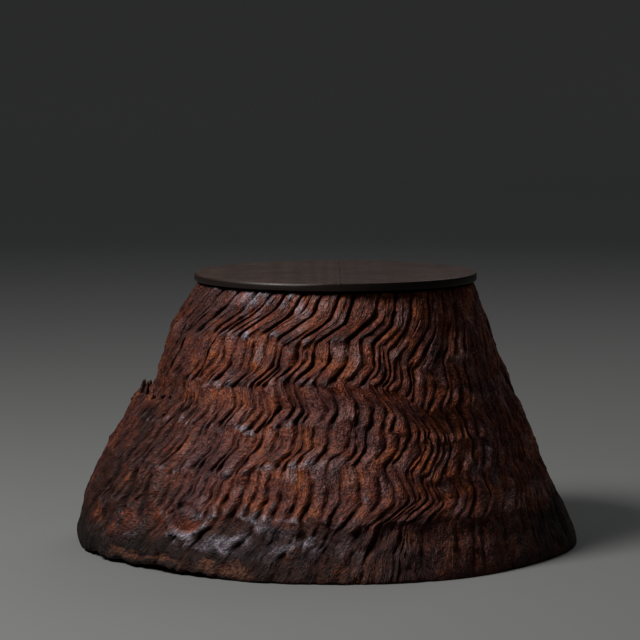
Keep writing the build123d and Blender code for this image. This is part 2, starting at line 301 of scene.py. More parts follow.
# Single marks of the skin: angle and height of one end, the same of the other, half-width (mm),
# and how far it stands out (mm; minus is a hollow)
MARKS = (
    (-153.2, 121, -151.8, 76, 4.2, -8.0),
    (-146.9, 118, -146.1, 70, 4.0, -8.0),
    (-161, 134, -159.6, 92, 4.2, -6.0),
    (-140, 112, -141, 84, 2.6, -4.5),
    (-158, 90, -159, 52, 3.0, -4.5),
    (-156, 237, -154, 221, 2.8, -6.5),
    (-143, 226, -142.5, 211, 3.4, -6.5),
    (-148, 243, -147, 233, 2.4, -5.0),
    (-134, 194, -135, 180, 3.4, -5.0),
    (-134, 100, -134, 86, 2.8, -5.5),
    (-152, 25, -151, 8, 1.8, -5.0),
    (-158, 200, -160, 176, 4.5, -4.0),
    (-119, 216, -121, 194, 3.2, -4.5),
    (-116, 201, -117, 178, 3.2, -4.5),
    (-100, 174, -115, 147, 4.2, 4.0),
    (-115, 147, -118, 128, 4.0, 3.5),
    (-79, 142, -82, 106, 7.0, 4.0),
    (-76, 102, -82, 83, 3.6, 4.0),
    (-82, 83, -86.5, 67, 3.2, 3.5),
    (-57, 98, -64, 88, 3.2, 3.0),
    (-64, 88, -76, 79, 3.2, 3.5),
    (-108.5, 72, -108.5, 64, 5.0, 4.5),
    (-99.5, 66, -99.5, 60, 3.4, 2.6),
    (-85, 66, -85, 63, 3.0, -3.0),
    (-81.5, 76, -81.5, 73, 2.6, 3.0),
    (-100, 64, -101, 34, 3.6, 3.6),
    (-96, 69, -98, 37, 3.6, 3.6),
    (-90, 60, -94, 23, 4.0, 3.8),
    (-106.5, 53, -108.5, 28, 3.6, 3.4),
    (-103, 40, -106.5, 25, 3.4, 3.2),
    (-86, 53, -88.5, 30, 3.8, 3.4),
    (-80, 80, -83, 50, 3.8, 3.4),
    (-75, 62, -78, 45, 3.6, 3.2),
    (-71.5, 55, -73.5, 23, 3.8, 3.0),
    (-98, 62, -99, 32, 2.6, -3.0),
    (-92.5, 58, -95, 25, 2.8, -3.0),
    (-104, 56, -106, 36, 2.6, -2.8),
    (-121, 92, -122, 78, 4.0, 2.5),
    (-127, 95, -128, 82, 4.0, 2.5),
    (-106, 116, -107, 98, 3.6, 2.5),
    (-52, 206, -51, 186, 8.0, -4.0),
    (-129, 256, -130, 244, 5.0, 2.5),
    (-114, 255, -115, 244, 4.5, 2.5),
    (-138, 238, -139, 226, 5.0, 2.5),
)
CRACKS = (
    (-137, 26, -136, 3, 1.7, -4.5),
    (-133, 24, -133.6, 13, 1.5, -4.0),
    (-143.5, 18, -143, 2, 1.5, -3.5),
    (-126, 18, -125.5, 3, 1.5, -3.0),
    (-117, 14, -116, 2, 1.3, -2.5),
    (-176, 228, -177, 203, 2.0, -5.5),
    (-171, 222, -170.5, 206, 2.0, -4.0),
    (-166, 221, -165, 206, 1.8, -4.0),
)
# Where the wax lies thick, lightened to a painted silvery sheen: ends as above and half-width (mm)
SILVER_SHEEN = (
    (-123, 44, -113, 53, 6.0),
    (-119, 36, -114, 42, 4.0),
    (-109.5, 69, -106, 67, 5.0),
    (-104, 65, -101.5, 62, 3.5),
    (-119.5, 86, -120.5, 72, 2.6),
    (-114.5, 92, -115, 78, 2.6),
    (-110.5, 88, -111, 76, 2.6),
    (-106.5, 100, -107, 84, 2.6),
    (-126, 84, -124.5, 66, 3.0),
    (-137, 74, -136, 60, 3.0),
    (-134, 54, -127.5, 50, 3.0),
    (-96, 60, -97.5, 50, 3.0),
    (-101, 48, -106, 40, 3.0),
    (-82.5, 108, -82.8, 101, 3.5),
    (-96, 69, -98, 45, 1.8),
    (-103, 40, -106.5, 26, 1.8),
    (-100, 64, -101, 42, 1.6),
    (-106.5, 53, -108.5, 32, 1.8),
)
# Where the grooves are cut deeper or shallower: angle, height, half-widths and the change
PATCHES = (
    (-117, 160, 17, 15, -0.4),
    (-114, 298, 15, 13, 0.45),
    (-112, 98, 17, 15, 0.35),
    (-60, 190, 24, 160, -0.14),
)
# Where ribs break off and start again: every second kink, counted from the top
BROKEN_KINKS = (2, 4, 6, 8, 10)
KNOT = (-131, 73, 35, 23)  # angle and height of its middle, half its width and half its height
LIFTED = (-171, -112)  # the foot stands off the floor between these angles
BARE_RIM = (-154, -106)  # and its edge is broken to the bare wood between these
FINER = (-84, 97)  # the middle and half the spread of the grooves that get the finer columns
FINE_SHARES = (0, 0.1, 0.22, 0.4, 0.56, 0.76, 0.9)
COARSE_SHARES = (0, 0.24, 0.56, 0.84)
SKIN_ROWS = 106
FOOT_TOP = 70  # the dark foot ends in tongues at about this height
LIFT, CHIPPED = 7.5, 1.8  # how far the lifted foot stands off the floor, and its chips (mm)
# Noise on the skin: lengths of its cells (mm), fibres being half a rib wide and chips a whole
# one, and how many knobs and tongues go round the stump
FIBRE, CHIP, KNOB, TONGUE = 17, 9, 15, 40
KNOBS_ROUND, TONGUES_ROUND = 110, 60
GRAIN_CIRCLE = 270  # radius of the circle that the grain's coordinates are laid on
MARGIN = 2.1  # the foot stays this far inside the frame's stump


def foot_lift(angle):
    """Height of the foot's edge off the floor: a long lift at the front left, chipped in steps."""
    turned = np.radians(angle)
    lifted = step_up(turn_from(LIFTED[0], angle), 0, 14)
    lifted = lifted * step_up(-turn_from(LIFTED[1], angle), 0, 16)
    chips = CHIPPED * np.sin(31 * turned) + 1.6 * np.sign(np.sin(13 * turned + 1))
    chips = chips + 1.2 * np.sin(67 * turned)
    return np.maximum(0, lifted * (LIFT + chips)) + 0.5 + 0.5 * np.sin(23 * turned)


def stroke(angle, height, radius, first, top, last, bottom, half):
    """Share of a mark at each point: 1 on the straight line between its two ends, and e to the
    minus square of the distance from that line over half, beside it."""
    off = np.radians(turn_from(first, angle)) * radius
    run = np.radians(turn_from(first, last)) * stump_radius(first, top)
    drop = bottom - top
    way = np.clip((off * run + (height - top) * drop) / (run**2 + drop**2), 0, 1)
    return swell(np.hypot(off - way * run, height - top - way * drop), half)


def groove_starts():
    """Angles of the groove lines at the sawn top: the named ones in front and even ones round the
    back, with two more in each gap, which are cut only lower down."""
    named = np.array(TOP_GROOVES)
    others = RIDGES // 3 - len(named)
    pitch = (360 - np.ptp(named)) / (others + 1)
    around = named[-1] + pitch * (np.arange(1, others + 1) + chance.uniform(-0.15, 0.15, others))
    leaders = np.concatenate([named, around])
    shares = (0, 0.34, 0.67) + chance.uniform(-0.05, 0.05, (len(leaders), 3)) * (0, 1, 1)
    return np.ravel(leaders[:, None] + gap_to_next(leaders)[:, None] * shares)


def groove_lines(heights):
    """The groove lines: their angles at the top, and at each height from the top down.

    They follow the grain. Of each three, the first is cut from the top down, and the two others
    run close together down to where the later one is born. A line wavers by slow waves, and
    steps aside by up to 0.28 of its gap at each broken kink. Also returns how much higher each
    line meets the kinks, which of its three it is, and at what height it is born.
    """
    rows = heights[:, None]
    start = groove_starts()
    stagger = np.clip(3.4 * chance.standard_normal(RIDGES), -7, 7)
    lines = follow_grain(start, heights, stagger)
    gap = gap_to_next(lines)
    triple, kind = np.divmod(np.arange(RIDGES), 3)
    early = 1 + chance.integers(0, 2, RIDGES // 3)[triple]
    late_birth = chance.uniform(150, 318, RIDGES // 3)[triple]
    birth = np.where(kind == early, chance.uniform(305, 356, RIDGES), late_birth)
    together = 1 - step_up(late_birth - rows, -12, 42)
    lines = lines + gap * together * np.choose(kind, (0, 0.42, -0.38))
    lines = lines + 0.1 * gap * slow_waves((95, 52, 31), rows)
    lines = lines + 0.06 * gap * slow_waves((24, 15), rows)
    shift = 0
    place = band_place(lines, rows + stagger)
    for kink in BROKEN_KINKS:
        fresh = chance.uniform(-0.28, 0.28, RIDGES)
        shift = shift + (fresh - shift) * step_up(place - kink, -0.1, 0.22)
    return start, lines + gap * shift, stagger, kind, birth


def groove_cuts(lines, heights, stagger, kind, birth):
    """How deep each line is cut at each height, as a share of GROOVE_DEPTH.

    The cuts of CUT_ABOVE and CUT_BELOW, bridged just below a broken kink on 0.55 of the lines,
    times slow waves. The two younger lines of each three start at their birth, lose by the
    cosine of their lean, and half of them end above the foot. PATCHES come last. Also returns
    the pockets, a bump just above each broken kink, where a groove is wider.
    """
    rows = heights[:, None]
    place = band_place(lines, rows + stagger)
    cuts = np.ravel(np.column_stack([CUT_ABOVE, CUT_BELOW]))
    cut = between_kinks(place, 0.1, 0.2, [1.2, *cuts, 0.5])
    pocket = 0
    for kink in BROKEN_KINKS:
        bridged = 0.95 * (chance.uniform(0, 1, RIDGES) < 0.55)
        cut *= 1 - bridged * swell(place - kink - 0.12, 0.13)
        pocket = pocket + swell(place - kink + 0.14, 0.16)
    cut *= np.clip(0.92 + 0.45 * slow_waves((88, 47, 29, 18), rows), 0.25, 1.35)
    cut *= np.where(kind == 0, 1, 0.92 * step_up(birth - rows, -4, 20))
    cut *= chance.uniform(0.8, 1.1, RIDGES)
    ended = (kind > 0) & (chance.uniform(0, 1, RIDGES) < 0.5)
    cut *= 1 - 0.75 * ended * step_up(-rows, -70, -50)
    steep = np.gradient(lines, axis=0) / np.gradient(heights)[:, None]
    steep = 1 / np.sqrt(1 + (np.radians(steep) * stump_radius(lines, rows)) ** 2)
    cut *= np.where(kind == 0, 1, steep)
    flank = swell(turn_from(-162, lines), 28) * step_up(-rows, -345, -290)
    cut *= 1 - 0.15 * flank
    for patch_angle, patch_height, wide, tall, change in PATCHES:
        here = swell(turn_from(patch_angle, lines), wide) * swell(rows - patch_height, tall)
        cut *= 1 + change * here
    return cut, pocket


def valleys(cut, mixed, pocket, share, owner, across, upright, foot, rows):
    """How deep each point lies in the grooves, as a share of GROOVE_DEPTH.

    From each groove line, its cut over 1 plus the fourth power of the distance over the
    groove's width, which is larger on the line's right; plus the mixed cuts times a wide cosine
    from line to line, which takes over at the foot; plus thin splits along the ribs' middles.
    """
    after = (owner + 1) % RIDGES
    width = GROOVE_WIDTH * chance.uniform(0.7, 1.25, RIDGES) * (1 + 0.4 * pocket)
    width = width * (1 + 0.25 * slow_waves((60, 26), rows))
    near_width, far_width = width[:, owner] * upright**0.5, width[:, after] * upright**0.5
    near = cut[:, owner] / (1 + (share * across / (1.15 * near_width)) ** 4)
    far = cut[:, after] / (1 + ((1 - share) * across / (0.6 * far_width)) ** 4)
    wide = mixed * (1 + np.cos(2 * np.pi * share**1.35)) / 2
    groove = (0.62 - 0.36 * foot) * np.maximum(near, far) + (0.38 + 0.32 * foot) * wide
    split = np.clip(slow_waves((90, 41, 60), rows)[:, owner] + 0.05, 0, 1)
    middle = 0.5 + 0.12 * slow_waves((50, 23), rows)[:, owner]
    return groove + 0.5 * split * np.exp(-(((share - middle) * across / 1.5) ** 2))


def trunk_skin():
    """The stump's rippled skin as rows from the sawn top down to the foot's edge.

    Columns follow the grain, 7 to a rib in front and 4 behind. The radius is the frame's stump
    less its grooves, plus ripples that swell out to each second kink and fall back below it, by
    each rib's own measure, and plus lumps, fibres, the knot and the single marks, and it stays
    within the frame's stump. Returns the points, their angles and the arrays that the finish
    reads.
    """
    heights = TRUNK_TOP * (1 - np.linspace(0, 1, SKIN_ROWS) ** 1.02)
    rows = heights[:, None]
    start, lines, stagger, kind, birth = groove_lines(heights)
    gap = gap_to_next(lines)
    cut, pocket = groove_cuts(lines, heights, stagger, kind, birth)

    # Columns: the groove line that each belongs to, and its share of the way to the next
    finer = np.abs(turn_from(FINER[0], start)) < FINER[1]
    shares = [FINE_SHARES if fine else COARSE_SHARES for fine in finer]
    owner = np.repeat(np.arange(RIDGES), [len(each) for each in shares])
    after = (owner + 1) % RIDGES
    share = np.concatenate(shares)
    angle = lines[:, owner] + share * gap[:, owner]
    height = rows + 0 * angle
    plain = stump_radius(angle, height)
    fall = np.gradient(heights)[:, None] * -SLANT
    slope = np.radians(np.gradient(angle, axis=0)) * plain / fall
    upright = 1 / np.sqrt(1 + slope**2)
    along = np.cumsum(fall * np.sqrt(1 + slope**2), axis=0)
    across = np.radians(gap[:, owner]) * plain * upright
    foot = step_up(-height, -FOOT_TOP - 10, -FOOT_TOP + 10)
    mixed = (1 - share) * cut[:, owner] + share * cut[:, after]
    groove = valleys(cut, mixed, pocket, share, owner, across, upright, foot, rows)

    # Ripples, each rib by its own measure, lumps, and noise in cells of four sizes
    level = band_place(angle, height + stagger[owner] * (1 - share) + stagger[after] * share)
    outs = np.ravel(np.column_stack([SWELLS, np.array(SWELLS) - DROPS]))
    ripple = between_kinks(level, 0.08, 0.13, [0.6, *outs, 0.4])
    ripple = ripple * by_side(angle, (0.6, 0.9, 1, 1, 0.7, 0.9))
    rib = np.sin(np.pi * share) ** 0.7
    ripple = ripple * (1 + chance.uniform(-0.9, 0.7, RIDGES)[owner] * rib)
    crest = chance.uniform(-1.8, 0.4, RIDGES)[owner] * rib**2
    lumps = 1.1 * waves(26, (3, 26), (60, 200), angle, height)
    ridged, turn, sizes = owner + share, angle / 360, (1, 2)
    fibre = mottle(ridged * 2, along / FIBRE, 2 * RIDGES, sizes)
    chips = mottle(ridged, along / CHIP, RIDGES, sizes)
    knobs = mottle(turn * KNOBS_ROUND, height / KNOB, KNOBS_ROUND, sizes)
    tongues = mottle(turn * TONGUES_ROUND, height / TONGUE, TONGUES_ROUND, sizes)

    # The dark foot ends in tongues, and the knot is a smooth raised ring with a moat inside it
    edge = FOOT_TOP + 9 * tongues - 38 * swell(turn_from(-152, angle), 20)
    low = step_up(edge - height, -24, 12) * (1 - 0.5 * swell(turn_from(-58, angle), 34))
    knot_side = np.radians(turn_from(KNOT[0], angle)) * plain / KNOT[2]
    knot = np.hypot(knot_side, (height - KNOT[1]) / KNOT[3])
    within = step_up(-knot, -1.1, -0.75)
    groove = groove * (1 - 0.7 * within)
    low *= 1 - 0.9 * within
    radius = plain + buttress_proud(angle, height) - CREST
    radius = radius + ripple * (1 - 0.3 * low) + crest + lumps
    radius += 2 * swell(turn_from(-18, angle), 26)
    radius = radius + fibre * 0.75 + chips * 0.8 + knobs * (0.9 + 0.5 * low)
    radius = radius + 4.2 * swell(knot - 1, 0.15) - 4 * swell(knot - 0.7, 0.13)
    radius = radius + 2 * swell(knot, 0.35) - 2.8 * foot * swell(turn_from(-94, angle), 30)
    # The knot's moat and the hollow marks darken like the grooves, with dirt and painted shade
    hollow = 0.75 * swell(knot - 0.7, 0.1)
    for *ends, half, out in MARKS + CRACKS:
        marked = stroke(angle, height, plain, *ends, half)
        radius += out * marked
        hollow += max(0, -out) / 4.6 * marked
    radius = radius - GROOVE_DEPTH * groove
    top = step_up(height, TRUNK_TOP - 7, TRUNK_TOP)
    radius += top * (0.25 * GROOVE_DEPTH * groove - 0.8 * (ripple + lumps))

    # The foot lifts off the floor at the front left, with its rim broken to the bare wood
    lift = foot_lift(angle)
    height = height + lift * (1 - height / TRUNK_TOP) ** 14
    rim = step_up(turn_from(BARE_RIM[0], angle), 0, 4)
    rim = rim * step_up(-turn_from(BARE_RIM[1], angle), 0, 8)
    bare = rim * step_up(-height + 6 * knobs + 2 * chips, -25, -22)
    bare = bare * step_up(tongues + knobs, -1, -0.2)
    radius = radius - 2.6 * bare - 2.5 * np.clip(1 - (height - lift) / 5, 0, 1) ** 2
    bare = bare * step_up(height - lift, 3, 8)
    reach = plain + buttress_proud(angle, height) - 4.5 * np.clip(1 - height / 16, 0, 1) ** 2
    reach = reach - MARGIN + 1.6 * step_up(height, 9, 24) + 2 * step_up(height, 24, 70)
    radius = np.minimum(radius, reach)

    # The light colour laid where the wax is, is a painted sheen and highlight
    # Wax lies under the sawn top in front, on the tips above the broken kinks, along single
    # ribs, on the knot's lower rim, in a pool above the foot and in the silvery strokes
    tips = swell(level - np.round(level) + 0.05, 0.14) * (np.round(level) % 2 == 0)
    tips = tips * step_up(fibre + chips, -0.5, 0.5) * step_up(-groove, -0.5, -0.2)
    wax_and_sheen = 0.8 * swell(turn_from(-118, angle), 22) * step_up(height, 322, 354)
    wax_and_sheen = wax_and_sheen * step_up(knobs, -0.7, 0.6) + 1.15 * tips * swell(turn_from(-122, angle), 31)
    tinted = step_up(slow_waves((120, 64), rows)[:, owner] + 0.3 * knobs, 0.1, 1.0)
    tinted = tinted * (1 - 0.85 * step_up(-turn_from(-128, angle), 0, 14)) * (1 - low)
    wax_and_sheen += 0.32 * tinted * step_up(-groove, -0.55, -0.2)
    ring = 0.6 * swell(knot - 1, 0.08) * step_up(KNOT[1] - height, -10, 6)
    wax_and_sheen += ring * step_up(chips, -0.5, 0.3)
    pool = swell(turn_from(-104, angle), 15) * step_up(height, 18, 32) * step_up(-height, -78, -60)
    wax_and_sheen += 0.3 * pool * step_up(knobs + chips, -0.9, 0.9)
    for *ends, half in SILVER_SHEEN:
        silver_sheen = 0.85 * stroke(angle, height, plain, *ends, half)
        wax_and_sheen += silver_sheen * step_up(chips + fibre, -1.0, 0.2)

    # Soot lies in a streak down the left flank, and painted shade darkens the left side, most at
    # its foot
    streak = swell(turn_from(-157.5 - 0.055 * (200 - height), angle), 3.6)
    streak *= step_up(height, 55, 90)
    soot_and_shade = 0.7 * streak * step_up(-height, -222, -196) * step_up(tongues, -1, 0.4)
    left = -turn_from(-136, angle)
    shaded = step_up(left, -8, 14) * (1 - step_up(left, 70, 125))
    patchy = (0.95 - 0.35 * step_up(height, 115, 150)) * shaded
    soot_and_shade += patchy * step_up(fibre + tongues, -2.2, 0.3)
    soot_and_shade += 0.7 * shaded * step_up(-height, -70, -34)

    # The grain's own coordinates: the column's place round a circle, and the length down it
    circle = np.radians(start[owner] + share * gap_to_next(start)[owner])
    circle = np.stack([GRAIN_CIRCLE * np.cos(circle), GRAIN_CIRCLE * np.sin(circle)], -1)
    grain = np.concatenate([np.broadcast_to(circle, (*angle.shape, 2)), along[..., None]], -1)
    looks = {
        "groove": np.clip(np.maximum(groove * (1 - 0.3 * foot), hollow), 0, 1.2),
        "grain": grain * MM,
        "low": low,
        "wax_and_sheen": np.clip(wax_and_sheen, 0, 1),
        "bare": bare,
        "soot_and_shade": np.clip(soot_and_shade, 0, 1) * (1 - 0.8 * within),
        # rubbed crests, lightened as a painted highlight
        "rubbed_highlight": swell(share - 0.64, 0.2) * np.clip(mixed, 0, 1) * step_up(fibre + knobs, -0.8, 1.2),
    }
    return polar(radius, angle, height), angle, looks


# ---------------------------------------------------------------- meshes


def ring_faces(index):
    """Corners of the four-sided faces between rows of point numbers, each row a ring."""
    right = np.roll(index, -1, 1)
    return np.stack([index[:-1], index[1:], right[1:], right[:-1]], -1).reshape(-1, 4)


def shell(rows, poles=True):
    """Corners of a closed surface through rows of points, each row a ring.

    Faces look outwards where rows run from the top's middle outwards and down, and points run
    anticlockwise seen from above. With poles, the first and last rows close in points at their
    means; without, the last row joins the first. Returns points, corners and corners per face.
    """
    rows = np.asarray(rows, float)
    count, around = rows.shape[:2]
    points = rows.reshape(-1, 3)
    index = np.arange(len(points)).reshape(count, around)
    if not poles:
        quads = ring_faces(np.concatenate([index, index[:1]]))
        return points, quads.ravel(), np.full(len(quads), 4)
    quads, right = ring_faces(index), np.roll(index, -1, 1)
    top, bottom = len(points), len(points) + 1
    points = np.concatenate([points, rows[:1].mean(1), rows[-1:].mean(1)])
    cap = np.stack([np.full(around, top), index[0], right[0]], -1)
    base = np.stack([np.full(around, bottom), right[-1], index[-1]], -1)
    corners = np.concatenate([quads.ravel(), cap.ravel(), base.ravel()])
    return points, corners, np.repeat([4, 3], [len(quads), 2 * around])


def piece(name, shells, body, nodes, finishes, sharp=None, zones=None, looks=None):
    """One object from closed shells, riding on a body and standing for CAD nodes.

    zones gives each face's finish, sharp the angle past which an edge stays crisp, and looks
    the arrays that the finish reads, one value per point.
    """
    points, corners, sizes = zip(*shells)
    firsts = np.cumsum([0, *map(len, points[:-1])])
    corners = np.concatenate([each + first for first, each in zip(firsts, corners)])
    points, sizes = np.concatenate(points), np.concatenate(sizes)
    mesh = bpy.data.meshes.new(name)
    mesh.vertices.add(len(points))
    mesh.vertices.foreach_set("co", (points * MM).astype(np.float32).ravel())
    mesh.loops.add(len(corners))
    mesh.loops.foreach_set("vertex_index", corners.astype(np.int32))
    mesh.polygons.add(len(sizes))
    mesh.polygons.foreach_set("loop_start", (np.cumsum(sizes) - sizes).astype(np.int32))
    for each in finishes:
        mesh.materials.append(each)
    if zones is not None:
        mesh.polygons.foreach_set("material_index", zones.astype(np.int32))
    mesh.update(calc_edges=True)
    mesh.shade_smooth()
    if sharp:
        mesh.set_sharp_from_angle(angle=np.radians(sharp))
    for look, values in (looks or {}).items():
        kind, key = ("FLOAT_VECTOR", "vector") if values.ndim == 2 else ("FLOAT", "value")
        held = np.ascontiguousarray(values, np.float32).ravel()
        mesh.attributes.new(look, kind, "POINT").data.foreach_set(key, held)
    made = bpy.data.objects.new(name, mesh)
    bpy.context.collection.objects.link(made)
    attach(made, body)
    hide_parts(*nodes)


def turned(section, count, poles=True, bulge=None):
    """A section of (radius, height) points turned round the bore's axis in count steps."""
    angle = np.arange(count) * 360 / count
    section = np.array(section, float)
    radius, height = section[:, :1] + 0 * angle, section[:, 1:] + 0 * angle
    if bulge is not None:
        radius = bulge(radius, height, angle)
    return shell(polar(radius, angle, height), poles)


def turned_bar(section, count):
    """A section of (radius, place) points turned round a bar's own line in count steps: the
    offsets two ways across the line, and the places along it."""
    section = np.array(section)[:, :, None]
    around = np.arange(count) * 2 * np.pi / count
    radius, place = section[:, 0], section[:, 1]
    return radius * np.cos(around), radius * np.sin(around), place + 0 * around


def corner(centre, radius, first, last, count=5):
    """Points on an arc of a section, from the first to the last angle."""
    angles = np.radians(np.linspace(first, last, count))
    return [(centre[0] + radius * np.cos(a), centre[1] + radius * np.sin(a)) for a in angles]


# ---------------------------------------------------------------- finishes

# Settings of a Mix node that lays one colour on another: plainly, darkening, or both ways from
# mid grey. Its sockets in use are the share, the colour below and the colour on top
COLOURS = {"data_type": "RGBA"}
MULTIPLY = {**COLOURS, "blend_type": "MULTIPLY"}
OVERLAY = {**COLOURS, "blend_type": "OVERLAY"}


def linear(code):
    """An sRGB hex value as linear red, green, blue and alpha."""
    share = np.array([int(code[i : i + 2], 16) for i in (1, 3, 5)]) / 255
    low = share / 12.92
    high = ((share + 0.055) / 1.055) ** 2.4
    return (*np.where(share <= 0.04045, low, high).tolist(), 1.0)


def feed(node, *values, **named):
    """Sets a node's sockets: values go to those in use, in their order, and named ones by name,
    with _ for a space. Each takes a number, a colour's hex value, another node's first output
    that is in use, or the output that is given."""
    sockets = [*zip([socket for socket in node.inputs if socket.enabled], values)]
    sockets += [(node.inputs[name.replace("_", " ")], value) for name, value in named.items()]
    for socket, value in sockets:
        if isinstance(value, bpy.types.Node):
            value = next(output for output in value.outputs if output.enabled)
        if isinstance(value, bpy.types.NodeSocket):
            node.id_data.links.new(value, socket)
        else:
            socket.default_value = linear(value) if isinstance(value, str) else value


def add(tree, kind, *values, stops=None, **named):
    """Adds a shader node: named values in lower case are its own settings, and the others feed
    its sockets. stops are the places and the colours or greys of its ramp."""
    node = tree.nodes.new("ShaderNode" + kind)
    for name in [name for name in named if name.islower()]:
        setattr(node, name, named.pop(name))
    if stops:
        ramp = node.color_ramp.elements
        ramp.remove(ramp[1])
        ramp[0].position = stops[0][0]
        for place, _ in stops[1:]:
            ramp.new(place)
        for element, (_, code) in zip(ramp, stops):
            element.color = linear(code) if isinstance(code, str) else (code, code, code, 1)
    feed(node, *values, **named)
    return node


def finish(name):
    """A new material with its node tree, its shader and the place on the object."""
    material = bpy.data.materials.new(name)
    material.use_nodes = True
    tree = material.node_tree
    place = add(tree, "TexCoord").outputs["Object"]
    return material, tree, tree.nodes["Principled BSDF"], place


def weathered_root():
    """Zelkova root, weathered, brushed and waxed.

    Weather eats the soft early wood and leaves fibres about 1 mm wide along the grain; brushing
    and wax polish the crests to a satin, lightened by a painted sheen and highlight, and dirt,
    smoke and painted shade keep the grooves black.
    """
    material, tree, shader, place = finish("weathered_waxed_zelkova_root")
    groove, low, wax_and_sheen, bare, rubbed_highlight, soot_and_shade = (
        add(tree, "Attribute", attribute_name=name).outputs["Fac"]
        for name in ("groove", "low", "wax_and_sheen", "bare", "rubbed_highlight", "soot_and_shade")
    )
    grain = add(tree, "Attribute", attribute_name="grain").outputs["Vector"]

    # Cells for each metre across and along the grain, detail and roughness: cracks 2.4 by 29 mm,
    # pits 2.3 by 4.2 mm, grit 1.1 by 1.9 mm and chips 3.3 by 17 mm. All are coarser than the
    # fibres, which are too fine to show
    noises = []
    for across, along, detail, rough in (
        (420, 34, 4, 0.65),
        (430, 240, 2, 0.6),
        (900, 520, 1, 0.5),
        (300, 60, 3, 0.6),
    ):
        at = add(tree, "Mapping", Vector=grain, Scale=(across, across, along))
        noises.append(add(tree, "TexNoise", Vector=at, Scale=1, Detail=detail, Roughness=rough))
    crack, pit, grit, chip = noises
    # Patches 42 mm wide, and shades 125 mm wide
    patch = add(tree, "TexNoise", Vector=place, Scale=24, Detail=7, Roughness=0.72)
    shade = add(tree, "TexNoise", Vector=place, Scale=8, Detail=4, Roughness=0.6)

    wood, aged_and_sheen, foot, wax_sheen_colour, split, fleck, speck, groove_dirt_and_shade, torn = (
        add(tree, "ValToRGB", source, stops=stops)
        for source, *stops in (
            (patch, (0.34, "#45211b"), (0.45, "#622e22"), (0.55, "#7a3d25"), (0.66, "#92502b")),
            (shade, (0.45, 0.0), (0.64, 0.6)),
            (patch, (0.4, "#0b0706"), (0.53, "#140e0b"), (0.66, "#251912")),
            (patch, (0.4, "#362c30"), (0.5, "#61565d"), (0.6, "#968d97")),
            (crack, (0.34, 0.06), (0.45, 0.42), (0.54, 0.53), (0.66, 0.68)),
            (pit, (0.3, 0.06), (0.43, 0.34), (0.54, 0.56), (0.68, 0.78)),
            (grit, (0.32, 0.15), (0.5, 0.5), (0.68, 0.76)),
            (groove, (0.3, 0.0), (0.62, 0.46), (1.0, 0.88)),
            (pit, (0.34, "#2a1610"), (0.5, "#503024"), (0.66, "#674535")),
        )
    )
    crest_highlight = add(tree, "Math", rubbed_highlight, 0.45, operation="MULTIPLY")
    floored = add(tree, "Math", low, 0.92, operation="MULTIPLY")
    foot_crest_highlight = add(tree, "Math", rubbed_highlight, low, operation="MULTIPLY")
    # Layers on the wood, from the first to the last: how much shows, and its colour
    colour = wood
    for share, layer, settings in (
        (crest_highlight, "#8c523d", COLOURS),  # crest edges lighter: rubbed, and a painted highlight
        (aged_and_sheen, "#482d30", COLOURS),  # greyed by age, and a painted violet sheen
        # soot, and painted shade on the left side
        (soot_and_shade, "#34170f", COLOURS),
        (floored, foot, COLOURS),  # the foot, darker
        (foot_crest_highlight, "#3f2a20", COLOURS),  # its crest edges, lighter: rubbed, and a painted highlight
        # wax, lightened in colour as a painted sheen and highlight
        (wax_and_sheen, wax_sheen_colour, COLOURS),
        (0.75, split, OVERLAY),
        (0.78, fleck, OVERLAY),
        (0.75, speck, OVERLAY),
        # dirt, and painted shade, darker the deeper the groove
        (groove_dirt_and_shade, "#1d0f0b", COLOURS),
        (bare, torn, COLOURS),
    ):
        colour = add(tree, "Mix", share, colour, layer, **settings)

    dull = add(tree, "MapRange", groove, 0.05, 0.7, 0.46, 0.9)
    polished = add(tree, "MapRange", wax_and_sheen, 0, 1, 0, -0.16)
    rough = add(tree, "Math", dull, polished, operation="ADD")
    dusty = add(tree, "Math", low, 0.3, rough, operation="MULTIPLY_ADD")
    coarse = add(tree, "Math", chip, 1.2, pit, operation="MULTIPLY_ADD")
    height = add(tree, "Math", crack, 0.7, coarse, operation="MULTIPLY_ADD")
    relief = add(tree, "Bump", Strength=1, Distance=0.0024, Height=height)
    feed(shader, Base_Color=colour, Roughness=dusty, Normal=relief)
    feed(shader, IOR=1.46, Specular_IOR_Level=0.34)
    return material


def sawn_end_grain():
    """Zelkova sawn across and darkened by smoke: growth rings 3 mm apart, ring porous with pores
    1.4 mm wide, and smoke in patches 70 mm wide."""
    material, tree, shader, place = finish("smoked_sawn_zelkova_end_grain")
    log = add(tree, "Mapping", Vector=place, Location=(-0.021, 0.034, 0))
    wave = {"Scale": 100, "Distortion": 5, "Detail": 3, "Detail_Scale": 0.16}
    rings = add(tree, "TexWave", Vector=log, wave_type="RINGS", rings_direction="Z", **wave)
    pores = add(tree, "TexNoise", Vector=place, Scale=700, Detail=2)
    patch = add(tree, "TexNoise", Vector=place, Scale=14, Detail=4)
    stops = (0.1, "#2b1a12"), (0.55, "#5d3d28"), (0.95, "#7a5637")
    wood = add(tree, "ValToRGB", rings.outputs["Fac"], stops=stops)
    smoke = add(tree, "ValToRGB", patch, stops=((0.4, 0.15), (0.7, 0.8)))
    base = add(tree, "Mix", smoke, wood, "#1c110c", **COLOURS)
    height = add(tree, "Math", pores, 0.5, rings.outputs["Fac"], operation="MULTIPLY_ADD")
    relief = add(tree, "Bump", Strength=0.5, Distance=0.0006, Height=height)
    feed(shader, Base_Color=base, Roughness=0.72, Normal=relief)
    return material


